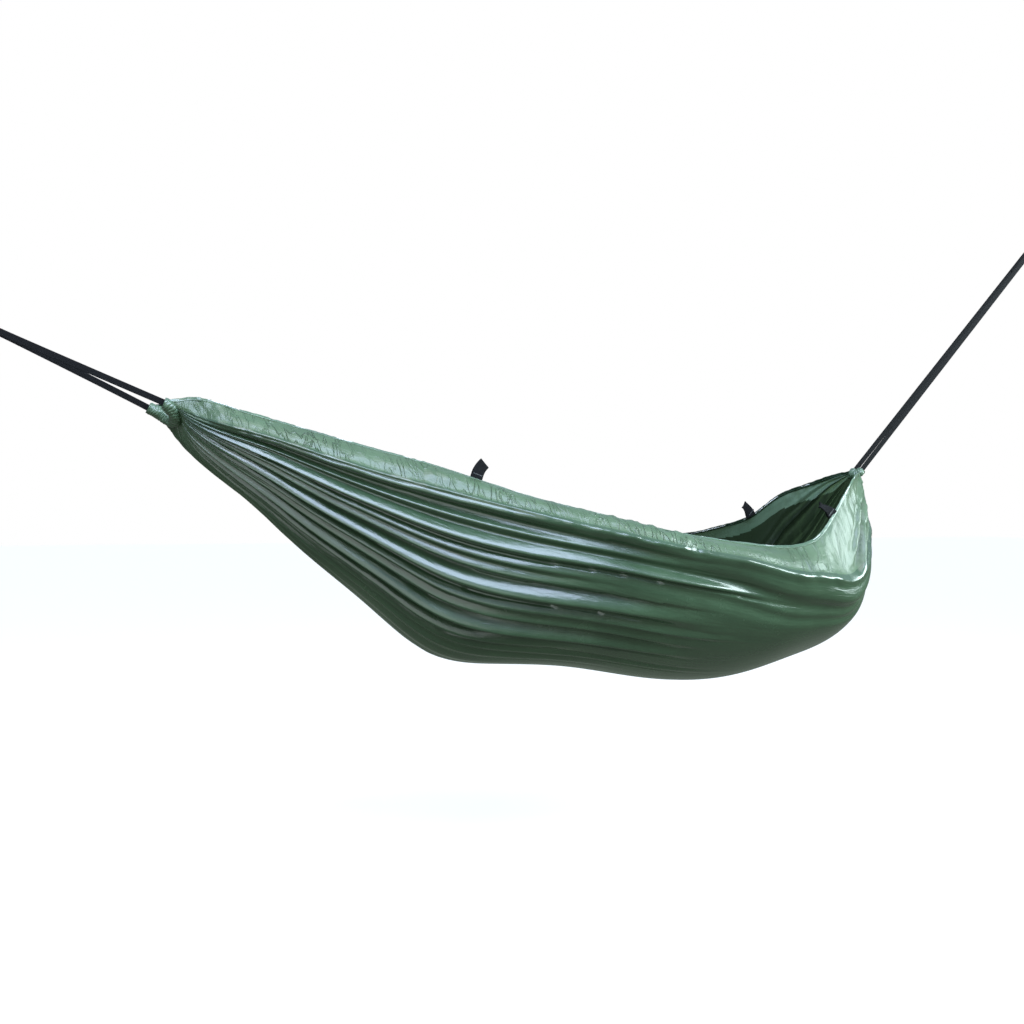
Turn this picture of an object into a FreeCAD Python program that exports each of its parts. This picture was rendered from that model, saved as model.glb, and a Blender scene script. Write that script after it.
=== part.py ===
import FreeCAD, Part

import math
import os

# A gathered-end camping hammock, hung empty between two anchors that aren't part of it.
# Millimetres. The origin is where the left carabiner bears on its anchor, +X runs towards the right end,
# +Y towards the far side and +Z up. The hammock is mirrored about the plane Y = 0.

Vector = FreeCAD.Vector

# Where each end hangs: the sling's slope, its length from carabiner to fabric, and the width of its U
SPAN = 2500.0
RIGHT_GATHER_DROP = 168.0
LEFT_SLOPE = 24.0
RIGHT_SLOPE = 47.5
LEFT_REACH = 605.0
RIGHT_REACH = 1276.0
LEFT_U_RADIUS = 52.0
RIGHT_U_RADIUS = 35.0

# Sling webbing
WEBBING_WIDTH = 19.0
WEBBING_THICK = 1.8
EYE_RADIUS = 11.5
LAP_START = 45.0
LAP_LENGTH = 70.0
THREAD_WIDTH = 1.0
THREAD_PROUD = 0.4

# Carabiner, in its own frame: u from the anchor towards the hammock, w across it, y through it
ROD_RADIUS = 4.0
BEND_RADIUS = 18.0
SPINE_LENGTH = 36.0
TOP_BEND_U = BEND_RADIUS - ROD_RADIUS
LOW_BEND_U = TOP_BEND_U + SPINE_LENGTH
PIVOT_U = LOW_BEND_U - 6.0
HINGE_FACE_U = LOW_BEND_U - 2.0
NOSE_FACE_U = TOP_BEND_U + 2.0
GATE_END_GAP = 1.0
TONGUE_THICK = 3.0
TONGUE_ROUND = 3.2
SLOT_CLEARANCE = 0.2
NOSE_TONGUE_LENGTH = 7.2
NOSE_TONGUE_HALF = 3.0
LATCH_U = NOSE_FACE_U + 4.5
LATCH_RADIUS = 1.0
NOTCH_CLEARANCE = 0.3
RIVET_RADIUS = 1.2
RIVET_HEAD_RADIUS = 1.8
RIVET_HEAD_THICK = 0.6
RUNNING_CLEARANCE = 0.05
PLUNGER_RADIUS = 1.25
PLUNGER_LENGTH = 4.7
SPRING_WIRE = 0.35
SPRING_LENGTH = 4.6

# Fabric
FABRIC_THICK = 3.0
CHANNEL_RADIUS = 17.0
CHANNEL_STUB = 8.0
WEBBING_CLEARANCE = 0.4
BINDING_WIDTH = 10.0
BINDING_THICK = 5.0
ELASTIC_RADIUS = 1.5
ELASTIC_CLEARANCE = 0.1

# Edge loops: a strip of webbing folded over and sewn to the edge, at these shares of the span
LOOP_WIDTH = 38.0
LOOP_HEIGHT = 52.0
LOOP_GAP = 6.0
LOOP_THICK = 1.5
LOOP_ROOT = 0.6
LOOP_STATIONS = {"left": 0.36, "right": 0.88}
BARTACK = (30.0, 0.8, 2.4)
BARTACK_LIFT = 8.0

# Stations of the bed, from the left gather to the right one. Each is a section that stands on a line in the
# plane Y = 0: (top x, top z, keel x, keel z, half width at the edge, half width at the crease,
# share of the depth at which the crease lies, fullness of the belly). The places are from the left gather.
STATIONS = [
    (5, -2, 55, -24, 59, 55, 0.40, 1.00),
    (46, 5, 70, -86, 63, 78, 0.40, 0.96),
    (98, 8, 112, -156, 82, 113, 0.37, 0.92),
    (209, -15, 250, -272, 119, 180, 0.26, 0.90),
    (377, -64, 410, -422, 172, 233, 0.20, 0.92),
    (600, -128, 640, -622, 217, 280, 0.16, 0.95),
    (795, -180, 820, -752, 250, 315, 0.135, 0.98),
    (1040, -258, 1045, -812, 281, 350, 0.11, 1.00),
    (1300, -320, 1300, -832, 302, 371, 0.11, 1.00),
    (1560, -378, 1560, -878, 310, 383, 0.11, 1.00),
    (1800, -415, 1800, -901, 310, 385, 0.13, 1.00),
    (1980, -430, 1985, -882, 305, 382, 0.20, 1.02),
    (2100, -411, 2140, -846, 295, 365, 0.29, 1.06),
    (2200, -330, 2290, -785, 258, 335, 0.47, 1.10),
    (2290, -232, 2415, -680, 222, 300, 0.52, 1.12),
    (2372, -185, 2488, -500, 160, 225, 0.50, 1.10),
    (2430, -178, 2510, -330, 95, 140, 0.45, 1.00),
    (2499, -170, 2471, -200, 42, 39, 0.40, 1.00),
]
BELLY = [(0.45, 0.86), (0.80, 0.52)]


def end_frame(anchor, slope):
    """The placement of an end's own frame, whose X runs down the sling from its anchor."""
    return FreeCAD.Placement(anchor, FreeCAD.Rotation(Vector(0, 1, 0), slope))


def end_point(frame, u):
    return frame.multVec(Vector(u, 0, 0))


left_frame = end_frame(Vector(0, 0, 0), LEFT_SLOPE)
left_gather = end_point(left_frame, LEFT_REACH)
right_gather = left_gather + Vector(SPAN, 0, -RIGHT_GATHER_DROP)
right_slope = math.radians(RIGHT_SLOPE)
right_anchor = right_gather + Vector(math.cos(right_slope), 0, math.sin(right_slope)) * RIGHT_REACH
right_frame = end_frame(right_anchor, 180 - RIGHT_SLOPE)


def placed(shape, frame):
    moved = shape.copy()
    moved.transformShape(frame.toMatrix())
    return moved


def box(u0, u1, y0, y1, w0, w1):
    return Part.makeBox(u1 - u0, y1 - y0, w1 - w0, Vector(u0, y0, w0))


def rod_across(radius, half_length, u, w):
    """A cylinder through a carabiner's plane."""
    return Part.makeCylinder(radius, 2 * half_length, Vector(u, -half_length, w), Vector(0, 1, 0))


# ---- slings ----

def belt_wire(u_eye, r_eye, u_low, r_low):
    """The closed line of straight strands and tangent arcs round the eye and round the low U."""
    lean = math.asin((r_low - r_eye) / (u_low - u_eye))
    n = Vector(-math.sin(lean), math.cos(lean), 0)
    m = Vector(n.x, -n.y, 0)
    eye, low = Vector(u_eye, 0, 0), Vector(u_low, 0, 0)
    edges = [
        Part.LineSegment(eye + n * r_eye, low + n * r_low).toShape(),
        Part.Arc(low + n * r_low, low + Vector(r_low, 0, 0), low + m * r_low).toShape(),
        Part.LineSegment(low + m * r_low, eye + m * r_eye).toShape(),
        Part.Arc(eye + m * r_eye, eye - Vector(r_eye, 0, 0), eye + n * r_eye).toShape(),
    ]
    return Part.Wire(edges)


def belt(u_low, r_low, thick, width):
    outer = belt_wire(EYE_U, EYE_RADIUS + thick / 2, u_low, r_low + thick / 2)
    inner = belt_wire(EYE_U, EYE_RADIUS - thick / 2, u_low, r_low - thick / 2)
    ring = Part.Face(outer).cut(Part.Face(inner))
    ring.translate(Vector(0, 0, -width / 2))
    return ring.extrude(Vector(0, 0, width)).Solids[0]


def strand_frame(u_low, r_low):
    """The placement at the eye end of the +y strand: X along the strand and Y out of its outer face."""
    lean = math.asin((r_low - EYE_RADIUS) / (u_low - EYE_U))
    start = Vector(EYE_U, 0, 0) + Vector(-math.sin(lean), math.cos(lean), 0) * EYE_RADIUS
    return FreeCAD.Placement(start, FreeCAD.Rotation(Vector(0, 0, 1), math.degrees(lean)))


def sling(u_low, r_low):
    """A loop of webbing whose ends lap and are sewn together near the carabiner."""
    half = WEBBING_THICK / 2
    lap = box(LAP_START, LAP_START + LAP_LENGTH, half, half + WEBBING_THICK,
              -WEBBING_WIDTH / 2, WEBBING_WIDTH / 2)
    loop = belt(u_low, r_low, WEBBING_THICK, WEBBING_WIDTH)
    return loop.fuse(placed(lap, strand_frame(u_low, r_low))).removeSplitter()


def box_stitch(y0, y1):
    """Thread sewn as a rectangle with two diagonals, between two levels over the lap."""
    inset = 3.0
    u0, u1 = LAP_START + inset, LAP_START + LAP_LENGTH - inset
    half = WEBBING_WIDTH / 2 - inset
    corners = [Vector(u0, 0, -half), Vector(u1, 0, -half), Vector(u1, 0, half), Vector(u0, 0, half)]
    rows = [(0, 1), (1, 2), (2, 3), (3, 0), (0, 2), (1, 3)]
    pad = None
    for a, b in rows:
        along = corners[b] - corners[a]
        row = Part.makeBox(along.Length, y1 - y0, THREAD_WIDTH, Vector(0, y0, -THREAD_WIDTH / 2))
        turn = -math.degrees(math.atan2(along.z, along.x))
        row.Placement = FreeCAD.Placement(corners[a], FreeCAD.Rotation(Vector(0, 1, 0), turn))
        pad = row if pad is None else pad.fuse(row)
    return pad.removeSplitter()


def sling_stitching(u_low, r_low):
    half = WEBBING_THICK / 2
    outside = box_stitch(half + WEBBING_THICK, half + WEBBING_THICK + THREAD_PROUD)
    inside = box_stitch(-half - THREAD_PROUD, -half)
    frame = strand_frame(u_low, r_low)
    return Part.makeCompound([placed(outside, frame), placed(inside, frame)])


# The eye leaves room for the webbing to turn on the curved bend as the hammock swings
EYE_U = LOW_BEND_U + BEND_RADIUS + 0.5


# ---- carabiners ----

def carabiner_body():
    top, low = Vector(TOP_BEND_U, 0, 0), Vector(LOW_BEND_U, 0, 0)
    side = Vector(0, 0, BEND_RADIUS)
    path = Part.Wire([
        Part.LineSegment(Vector(NOSE_FACE_U, 0, BEND_RADIUS), top + side).toShape(),
        Part.Arc(top + side, top - Vector(BEND_RADIUS, 0, 0), top - side).toShape(),
        Part.LineSegment(top - side, low - side).toShape(),
        Part.Arc(low - side, low + Vector(BEND_RADIUS, 0, 0), low + side).toShape(),
        Part.LineSegment(low + side, Vector(HINGE_FACE_U, 0, BEND_RADIUS)).toShape(),
    ])
    section = Part.Wire(Part.makeCircle(ROD_RADIUS, Vector(NOSE_FACE_U, 0, BEND_RADIUS), Vector(1, 0, 0)))
    rod = path.makePipeShell([section], True, True)
    half = TONGUE_THICK / 2
    hinge = box(PIVOT_U, HINGE_FACE_U + 1, -half, half,
                BEND_RADIUS - TONGUE_ROUND, BEND_RADIUS + TONGUE_ROUND)
    hinge = hinge.fuse(rod_across(TONGUE_ROUND, half, PIVOT_U, BEND_RADIUS))
    hinge = hinge.cut(rod_across(RIVET_RADIUS, ROD_RADIUS, PIVOT_U, BEND_RADIUS))
    nose = box(NOSE_FACE_U - 1, NOSE_FACE_U + NOSE_TONGUE_LENGTH, -half, half,
               BEND_RADIUS - NOSE_TONGUE_HALF, BEND_RADIUS + NOSE_TONGUE_HALF)
    reach = LATCH_RADIUS + NOTCH_CLEARANCE
    notch = box(LATCH_U - reach, LATCH_U + reach, -ROD_RADIUS, ROD_RADIUS,
                BEND_RADIUS - NOSE_TONGUE_HALF - 1, BEND_RADIUS)
    notch = notch.fuse(rod_across(reach, ROD_RADIUS, LATCH_U, BEND_RADIUS))
    return rod.fuse([hinge, nose.cut(notch)]).removeSplitter()


def gate():
    """A round bar, slotted at both ends, with a blind bore for its spring."""
    start = NOSE_FACE_U + GATE_END_GAP
    bar = Part.makeCylinder(ROD_RADIUS, PIVOT_U + ROD_RADIUS - start, Vector(start, 0, BEND_RADIUS),
                            Vector(1, 0, 0))
    keep = box(start, PIVOT_U, -ROD_RADIUS, ROD_RADIUS, BEND_RADIUS - ROD_RADIUS, BEND_RADIUS + ROD_RADIUS)
    keep = keep.fuse(rod_across(ROD_RADIUS - 2 * RUNNING_CLEARANCE, ROD_RADIUS, PIVOT_U, BEND_RADIUS))
    bar = bar.common(keep)
    half = TONGUE_THICK / 2 + SLOT_CLEARANCE
    deep = 2 * ROD_RADIUS
    hinge_slot = box(SLOT_FLOOR_U, PIVOT_U + deep, -half, half, BEND_RADIUS - deep, BEND_RADIUS + deep)
    nose_slot = box(start - 1, NOSE_FACE_U + NOSE_TONGUE_LENGTH + GATE_END_GAP, -half, half,
                    BEND_RADIUS - deep, BEND_RADIUS + deep)
    bore = Part.makeCylinder(PLUNGER_RADIUS + RUNNING_CLEARANCE, SLOT_FLOOR_U - BORE_FLOOR_U,
                             Vector(BORE_FLOOR_U, 0, BEND_RADIUS), Vector(1, 0, 0))
    rivet_hole = rod_across(RIVET_RADIUS + RUNNING_CLEARANCE, deep, PIVOT_U, BEND_RADIUS)
    latch_hole = rod_across(LATCH_RADIUS, deep, LATCH_U, BEND_RADIUS)
    return bar.cut(hinge_slot).cut(nose_slot).cut(bore).cut(rivet_hole).cut(latch_hole)


def gate_rivet():
    half = ROD_RADIUS + RUNNING_CLEARANCE
    shaft = rod_across(RIVET_RADIUS, half + RIVET_HEAD_THICK, PIVOT_U, BEND_RADIUS)
    for side in (-1, 1):
        place = Vector(PIVOT_U, side * half, BEND_RADIUS)
        head = Part.makeCylinder(RIVET_HEAD_RADIUS, RIVET_HEAD_THICK, place, Vector(0, side, 0))
        shaft = shaft.fuse(head)
    return shaft.removeSplitter()


def latch_pin():
    return rod_across(LATCH_RADIUS, math.sqrt(ROD_RADIUS ** 2 - LATCH_RADIUS ** 2), LATCH_U, BEND_RADIUS)


TONGUE_TIP_U = PIVOT_U - TONGUE_ROUND
SLOT_FLOOR_U = TONGUE_TIP_U - 0.5
PLUNGER_U = TONGUE_TIP_U - RUNNING_CLEARANCE - PLUNGER_LENGTH
BORE_FLOOR_U = PLUNGER_U - SPRING_LENGTH


def gate_plunger():
    start = Vector(PLUNGER_U, 0, BEND_RADIUS)
    return Part.makeCylinder(PLUNGER_RADIUS, PLUNGER_LENGTH, start, Vector(1, 0, 0))


def gate_spring():
    """The coil's closed envelope: a sleeve as thick as its wire."""
    room = RUNNING_CLEARANCE
    outer = Part.makeCylinder(PLUNGER_RADIUS - room, SPRING_LENGTH - 2 * room,
                              Vector(BORE_FLOOR_U + room, 0, BEND_RADIUS), Vector(1, 0, 0))
    inner = Part.makeCylinder(PLUNGER_RADIUS - room - SPRING_WIRE, SPRING_LENGTH,
                              Vector(BORE_FLOOR_U, 0, BEND_RADIUS), Vector(1, 0, 0))
    return outer.cut(inner)


# ---- fabric ----

def section_points(station):
    """A station's outline in its own plane, as (y, depth) from the near edge to the far edge."""
    top_x, top_z, keel_x, keel_z, edge, crease, crease_share, fullness = station
    depth = math.hypot(keel_x - top_x, keel_z - top_z)
    low = depth * crease_share
    half = [(-edge, 0.0), (-crease, low)]
    half += [(-crease * wide * fullness, low + (depth - low) * deep) for deep, wide in BELLY]
    return half + [(0.0, depth)] + [(-y, z) for y, z in reversed(half)]


def inward(points):
    """The same outline moved to the inside by the fabric's thickness."""
    moved = []
    for i, (y, z) in enumerate(points):
        before, after = points[max(i - 1, 0)], points[min(i + 1, len(points) - 1)]
        dy, dz = after[0] - before[0], after[1] - before[1]
        size = math.hypot(dy, dz)
        moved.append((y + FABRIC_THICK * dz / size, z - FABRIC_THICK * dy / size))
    return moved


def in_space(station, y, depth):
    top_x, top_z, keel_x, keel_z = station[:4]
    whole = math.hypot(keel_x - top_x, keel_z - top_z)
    share = depth / whole
    return left_gather + Vector(top_x + (keel_x - top_x) * share, y, top_z + (keel_z - top_z) * share)


def smooth(points):
    """A curve through the points, which reaches each of them at the same parameter in every section."""
    curve = Part.BSplineCurve()
    curve.interpolate(Points=points, Parameters=[float(i) for i in range(len(points))])
    return curve.toShape()


def bed_section(station):
    outer = section_points(station)
    outside = [in_space(station, y, z) for y, z in outer]
    inside = [in_space(station, y, z) for y, z in inward(outer)]
    return Part.Wire([
        smooth(outside),
        Part.LineSegment(outside[-1], inside[-1]).toShape(),
        smooth(inside[::-1]),
        Part.LineSegment(inside[0], outside[0]).toShape(),
    ])


def edge_frame(station, side):
    """In the station's plane: the middle of the fabric's edge, the way out of it, and the way across it."""
    outer = section_points(station)
    (y0, z0), (y1, z1) = outer[0], outer[1]
    size = math.hypot(y0 - y1, z0 - z1)
    out = ((y0 - y1) / size, (z0 - z1) / size)
    across = (-out[1], out[0])
    yi, zi = inward(outer)[0]
    return ((side * (y0 + yi) / 2, (z0 + zi) / 2), (side * out[0], out[1]), (side * across[0], across[1]))


def edge_place(station, side, outward, sideways):
    (y, z), out, across = edge_frame(station, side)
    return in_space(station, y + out[0] * outward + across[0] * sideways,
                    z + out[1] * outward + across[1] * sideways)


def edge_loft(side, wire_of):
    return Part.makeLoft([wire_of(station, side) for station in STATIONS], True, False)


def binding_wire(station, side):
    """The tape's fold, open towards the panel, with the elastic inside it."""
    half, room = BINDING_THICK / 2, ELASTIC_RADIUS + ELASTIC_CLEARANCE
    floor = BINDING_WIDTH - (half - room)
    corners = [(0, -half), (BINDING_WIDTH, -half), (BINDING_WIDTH, half), (0, half),
               (0, room), (floor, room), (floor, -room), (0, -room)]
    places = [edge_place(station, side, a, b) for a, b in corners]
    return Part.makePolygon(places + places[:1])


def elastic_wire(station, side):
    """The covered cord's outline, eight-sided."""
    turn = math.pi / 4
    places = [edge_place(station, side, BINDING_WIDTH / 2 + ELASTIC_RADIUS * math.cos(turn * i),
                         ELASTIC_RADIUS * math.sin(turn * i)) for i in range(8)]
    return Part.makePolygon(places + places[:1])


def channel(u_low, r_low):
    """The bunched sleeve of fabric round the sling's U, with room for the webbing."""
    low = Vector(u_low, 0, 0)
    stub = Vector(-CHANNEL_STUB, 0, 0)
    near, far = low - Vector(0, r_low, 0), low + Vector(0, r_low, 0)
    path = Part.Wire([
        Part.LineSegment(near + stub, near).toShape(),
        Part.Arc(near, low + Vector(r_low, 0, 0), far).toShape(),
        Part.LineSegment(far, far + stub).toShape(),
    ])
    section = Part.Wire(Part.makeCircle(CHANNEL_RADIUS, near + stub, Vector(1, 0, 0)))
    room = belt(u_low, r_low, WEBBING_THICK + 2 * WEBBING_CLEARANCE, WEBBING_WIDTH + 2 * WEBBING_CLEARANCE)
    return path.makePipeShell([section], True, True).cut(room)


def edge_point(share, side):
    """A place on the outer rim of the binding and the way along it, at a share of the span."""
    rim = Part.BSplineCurve()
    rim.interpolate([edge_place(station, side, BINDING_WIDTH, 0) for station in STATIONS])
    low, high = rim.FirstParameter, rim.LastParameter
    while high - low > 1e-6:
        middle = (low + high) / 2
        if rim.value(middle).x < left_gather.x + share * SPAN:
            low = middle
        else:
            high = middle
    return rim.value(low), rim.tangent(low)[0]


def loop_frame(share, side):
    """Stands on the edge, square to Y: X as it climbs, Z as nearly up as it allows."""
    place, along = edge_point(share, side)
    along = Vector(along.x, 0, along.z).normalize()
    up = (Vector(0, 0, 1) - along * along.z).normalize()
    return FreeCAD.Placement(place, FreeCAD.Rotation(along, up.cross(along), up, "XZY"))


def edge_loop(share, side):
    outer, inner = LOOP_GAP / 2 + LOOP_THICK, LOOP_GAP / 2
    half = LOOP_WIDTH / 2
    crown = LOOP_HEIGHT - outer
    shapes = []
    for reach in (outer, inner):
        legs = box(-half, half, -reach, reach, -LOOP_ROOT, crown)
        bow = Part.makeCylinder(reach, LOOP_WIDTH, Vector(-half, 0, crown), Vector(1, 0, 0))
        shapes.append(legs.fuse(bow))
    return placed(shapes[0].cut(shapes[1]), loop_frame(share, side))


def bartacks(share, side):
    """The two rows of thread that close the loop's legs onto the edge, one on each face."""
    length, proud, tall = BARTACK
    face = LOOP_GAP / 2 + LOOP_THICK
    tacks = []
    for y0, y1 in ((face, face + proud), (-face - proud, -face)):
        tack = box(-length / 2, length / 2, y0, y1, BARTACK_LIFT, BARTACK_LIFT + tall)
        tacks.append(placed(tack, loop_frame(share, side)))
    return tacks


# ---- assembly ----

def build():
    parts = {}
    ends = {
        "left": (left_frame, LEFT_REACH, LEFT_U_RADIUS),
        "right": (right_frame, RIGHT_REACH, RIGHT_U_RADIUS),
    }
    for end, (frame, reach, r_low) in ends.items():
        made = {
            "carabiner_body": carabiner_body(),
            "gate": gate(),
            "gate_rivet": gate_rivet(),
            "latch_pin": latch_pin(),
            "gate_plunger": gate_plunger(),
            "gate_spring": gate_spring(),
            "sling": sling(reach, r_low),
            "sling_stitching": sling_stitching(reach, r_low),
            "end_channel": channel(reach, r_low),
        }
        for name, shape in made.items():
            parts[end + "_" + name] = placed(shape, frame)

    parts["bed_panel"] = Part.makeLoft([bed_section(s) for s in STATIONS], True, False)
    tacks = []
    for name, side in (("near", 1), ("far", -1)):
        parts[name + "_edge_binding"] = edge_loft(side, binding_wire)
        parts[name + "_edge_elastic"] = edge_loft(side, elastic_wire)
        for end, share in LOOP_STATIONS.items():
            parts[name + "_" + end + "_edge_loop"] = edge_loop(share, side)
            tacks += bartacks(share, side)
    parts["loop_bartacks"] = Part.makeCompound(tacks)
    return parts


os.makedirs("parts", exist_ok=True)
for name, shape in build().items():
    solids = shape.Solids
    piece = solids[0] if len(solids) == 1 else Part.makeCompound(solids)
    piece.exportStep(os.path.join("parts", name + ".step"))
    print(name, len(solids), "valid", piece.isValid(), "volume_cm3", round(piece.Volume / 1000, 2))
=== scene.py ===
import math

import bpy
import numpy as np
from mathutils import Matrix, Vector


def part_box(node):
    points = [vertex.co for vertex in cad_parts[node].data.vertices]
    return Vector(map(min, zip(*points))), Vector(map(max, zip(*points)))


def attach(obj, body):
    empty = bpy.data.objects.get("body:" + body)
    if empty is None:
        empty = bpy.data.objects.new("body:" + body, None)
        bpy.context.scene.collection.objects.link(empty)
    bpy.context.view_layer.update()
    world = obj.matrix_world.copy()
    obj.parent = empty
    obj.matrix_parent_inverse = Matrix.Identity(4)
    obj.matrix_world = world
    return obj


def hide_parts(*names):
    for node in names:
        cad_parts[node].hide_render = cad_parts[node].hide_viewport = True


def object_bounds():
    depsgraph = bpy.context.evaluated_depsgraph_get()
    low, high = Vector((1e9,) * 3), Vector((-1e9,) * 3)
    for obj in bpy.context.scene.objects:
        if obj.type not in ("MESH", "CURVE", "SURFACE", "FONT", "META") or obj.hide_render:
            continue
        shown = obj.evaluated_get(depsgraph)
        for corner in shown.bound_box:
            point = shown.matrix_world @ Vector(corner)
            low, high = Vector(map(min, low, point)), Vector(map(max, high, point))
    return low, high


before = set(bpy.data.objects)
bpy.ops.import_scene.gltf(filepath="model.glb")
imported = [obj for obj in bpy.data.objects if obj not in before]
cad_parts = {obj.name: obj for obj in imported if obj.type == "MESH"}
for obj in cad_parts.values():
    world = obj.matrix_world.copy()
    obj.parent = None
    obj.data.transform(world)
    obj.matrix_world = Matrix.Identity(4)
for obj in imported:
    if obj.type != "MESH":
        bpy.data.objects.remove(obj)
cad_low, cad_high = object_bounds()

# Metres, in the frame of the CAD part: the origin where the left carabiner bears on its anchor,
# +X towards the right end, +Y away from the viewer, +Z up.

# ---- where the ends hang, as in the CAD ----
SPAN, RIGHT_DROP = 2.5, 0.168
ENDS = {
    "left": {"slope": 24.0, "reach": 0.605, "u_radius": 0.052},
    "right": {"slope": 180 - 47.5, "reach": 1.276, "u_radius": 0.020},
}
# At the left the far strand hangs lower than the near one and its fabric reaches further up it,
# and the sling's U droops from the line of its strands
ENDS["left"].update(far_rise=-0.0115, far_reach=0.030, droop=math.radians(18), sag=0.004)
ENDS["right"].update(far_rise=0.0, far_reach=0.0, droop=0.0, sag=0.009)
EYE_U, EYE_RADIUS = 0.0685, 0.0115
WEBBING_WIDTH, WEBBING_THICK = 0.019, 0.0018
LAP_START, LAP_LENGTH = 0.045, 0.070
FABRIC_WIDTH, FABRIC_LENGTH = 1.45, 3.0


def end_axes(slope):
    """An end's own directions: u down the sling, y across the hammock and w square to both."""
    a = math.radians(slope)
    return (np.array([math.cos(a), 0, -math.sin(a)]), np.array([0, 1.0, 0]),
            np.array([math.sin(a), 0, math.cos(a)]))


left_gather = end_axes(ENDS["left"]["slope"])[0] * ENDS["left"]["reach"]
right_gather = left_gather + np.array([SPAN, 0, -RIGHT_DROP])
ENDS["left"]["anchor"] = np.zeros(3)
ENDS["right"]["anchor"] = right_gather - end_axes(ENDS["right"]["slope"])[0] * ENDS["right"]["reach"]


# ---- camera ----
CAMERA_FROM_GATHER = np.array([-0.311, -3.715, -0.313])
CAMERA_YAW = 21.0
LENS, SENSOR = 42.19, 36.0


def make_camera():
    data = bpy.data.cameras.new("view")
    data.lens, data.sensor_width = LENS, SENSOR
    camera = bpy.data.objects.new("view", data)
    camera.location = Vector(left_gather + CAMERA_FROM_GATHER)
    camera.rotation_euler = (math.radians(90), 0, math.radians(-CAMERA_YAW))
    bpy.context.scene.collection.objects.link(camera)
    bpy.context.scene.camera = camera


make_camera()


# ---- material helpers ----

class Nodes:
    """A short way to write a node material."""

    def __init__(self, name):
        self.material = bpy.data.materials.new(name)
        self.material.use_nodes = True
        self.tree = self.material.node_tree
        self.tree.nodes.clear()
        self.out = self.add("ShaderNodeOutputMaterial")
        self.shader = self.add("ShaderNodeBsdfPrincipled")
        self.link(self.shader, "BSDF", self.out, "Surface")

    def add(self, kind, **settings):
        node = self.tree.nodes.new(kind)
        for key, value in settings.items():
            setattr(node, key, value)
        return node

    def link(self, a, a_name, b, b_name):
        self.tree.links.new(a.outputs[a_name], b.inputs[b_name])

    def set(self, **values):
        for key, value in values.items():
            self.shader.inputs[key.replace("_", " ")].default_value = value

    def mapped(self, source, scale, turn=(0, 0, 0)):
        """Texture coordinates, UV in metres or Object, stretched by scale."""
        coordinate = self.add("ShaderNodeTexCoord")
        mapping = self.add("ShaderNodeMapping")
        mapping.inputs["Scale"].default_value = scale
        mapping.inputs["Rotation"].default_value = turn
        self.link(coordinate, source, mapping, "Vector")
        return mapping

    def noise(self, where, scale, detail=4.0, rough=0.5, distortion=0.0):
        node = self.add("ShaderNodeTexNoise")
        node.inputs["Scale"].default_value = scale
        node.inputs["Detail"].default_value = detail
        node.inputs["Roughness"].default_value = rough
        node.inputs["Distortion"].default_value = distortion
        self.link(where, "Vector", node, "Vector")
        return node

    def wave(self, where, scale, direction="X", distortion=0.0):
        node = self.add("ShaderNodeTexWave", bands_direction=direction)
        node.inputs["Scale"].default_value = scale
        node.inputs["Distortion"].default_value = distortion
        self.link(where, "Vector", node, "Vector")
        return node

    def ramp(self, source, source_name, stops):
        node = self.add("ShaderNodeValToRGB")
        elements = node.color_ramp.elements
        while len(elements) < len(stops):
            elements.new(0.5)
        for element, (place, colour) in zip(elements, stops):
            element.position = place
            element.color = (*colour, 1) if hasattr(colour, "__len__") else (colour, colour, colour, 1)
        self.link(source, source_name, node, "Fac")
        return node

    def math(self, operation, a, b):
        """a and b are (node, output name) or plain numbers."""
        node = self.add("ShaderNodeMath", operation=operation)
        for i, value in enumerate((a, b)):
            if isinstance(value, tuple):
                self.tree.links.new(value[0].outputs[value[1]], node.inputs[i])
            else:
                node.inputs[i].default_value = value
        return node

    def mix(self, factor, a, b, blend="MIX"):
        node = self.add("ShaderNodeMix", data_type="RGBA", blend_type=blend)
        for socket, value in ((node.inputs[0], factor), (node.inputs[6], a), (node.inputs[7], b)):
            if isinstance(value, tuple) and isinstance(value[0], bpy.types.Node):
                self.tree.links.new(value[0].outputs[value[1]], socket)
            elif hasattr(value, "__len__"):
                socket.default_value = (*value, 1)
            else:
                socket.default_value = value
        return node

    def bump(self, height, height_name, distance, strength=1.0, over=None):
        node = self.add("ShaderNodeBump")
        node.inputs["Distance"].default_value = distance
        node.inputs["Strength"].default_value = strength
        self.link(height, height_name, node, "Height")
        if over is not None:
            self.link(over, "Normal", node, "Normal")
        return node


# Wave scales: bands come every pi / 10 / scale metres
RIPSTOP_BANDS, WEAVE_BANDS = 26.5, 420     # a heavier yarn every 12 mm, a thread every 0.75 mm
RIB_BANDS, HALF_BANDS, RIB_TURN = 190, 33, math.radians(28)
# The share of a cloth's shading that is light from its other face
THROUGH_SHARE = 0.16
# The lip is wrinkled by its elastic up to this share of the length, and smooth from the second
WRINKLED_TO, SMOOTH_FROM = 0.74, 0.82


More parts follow.
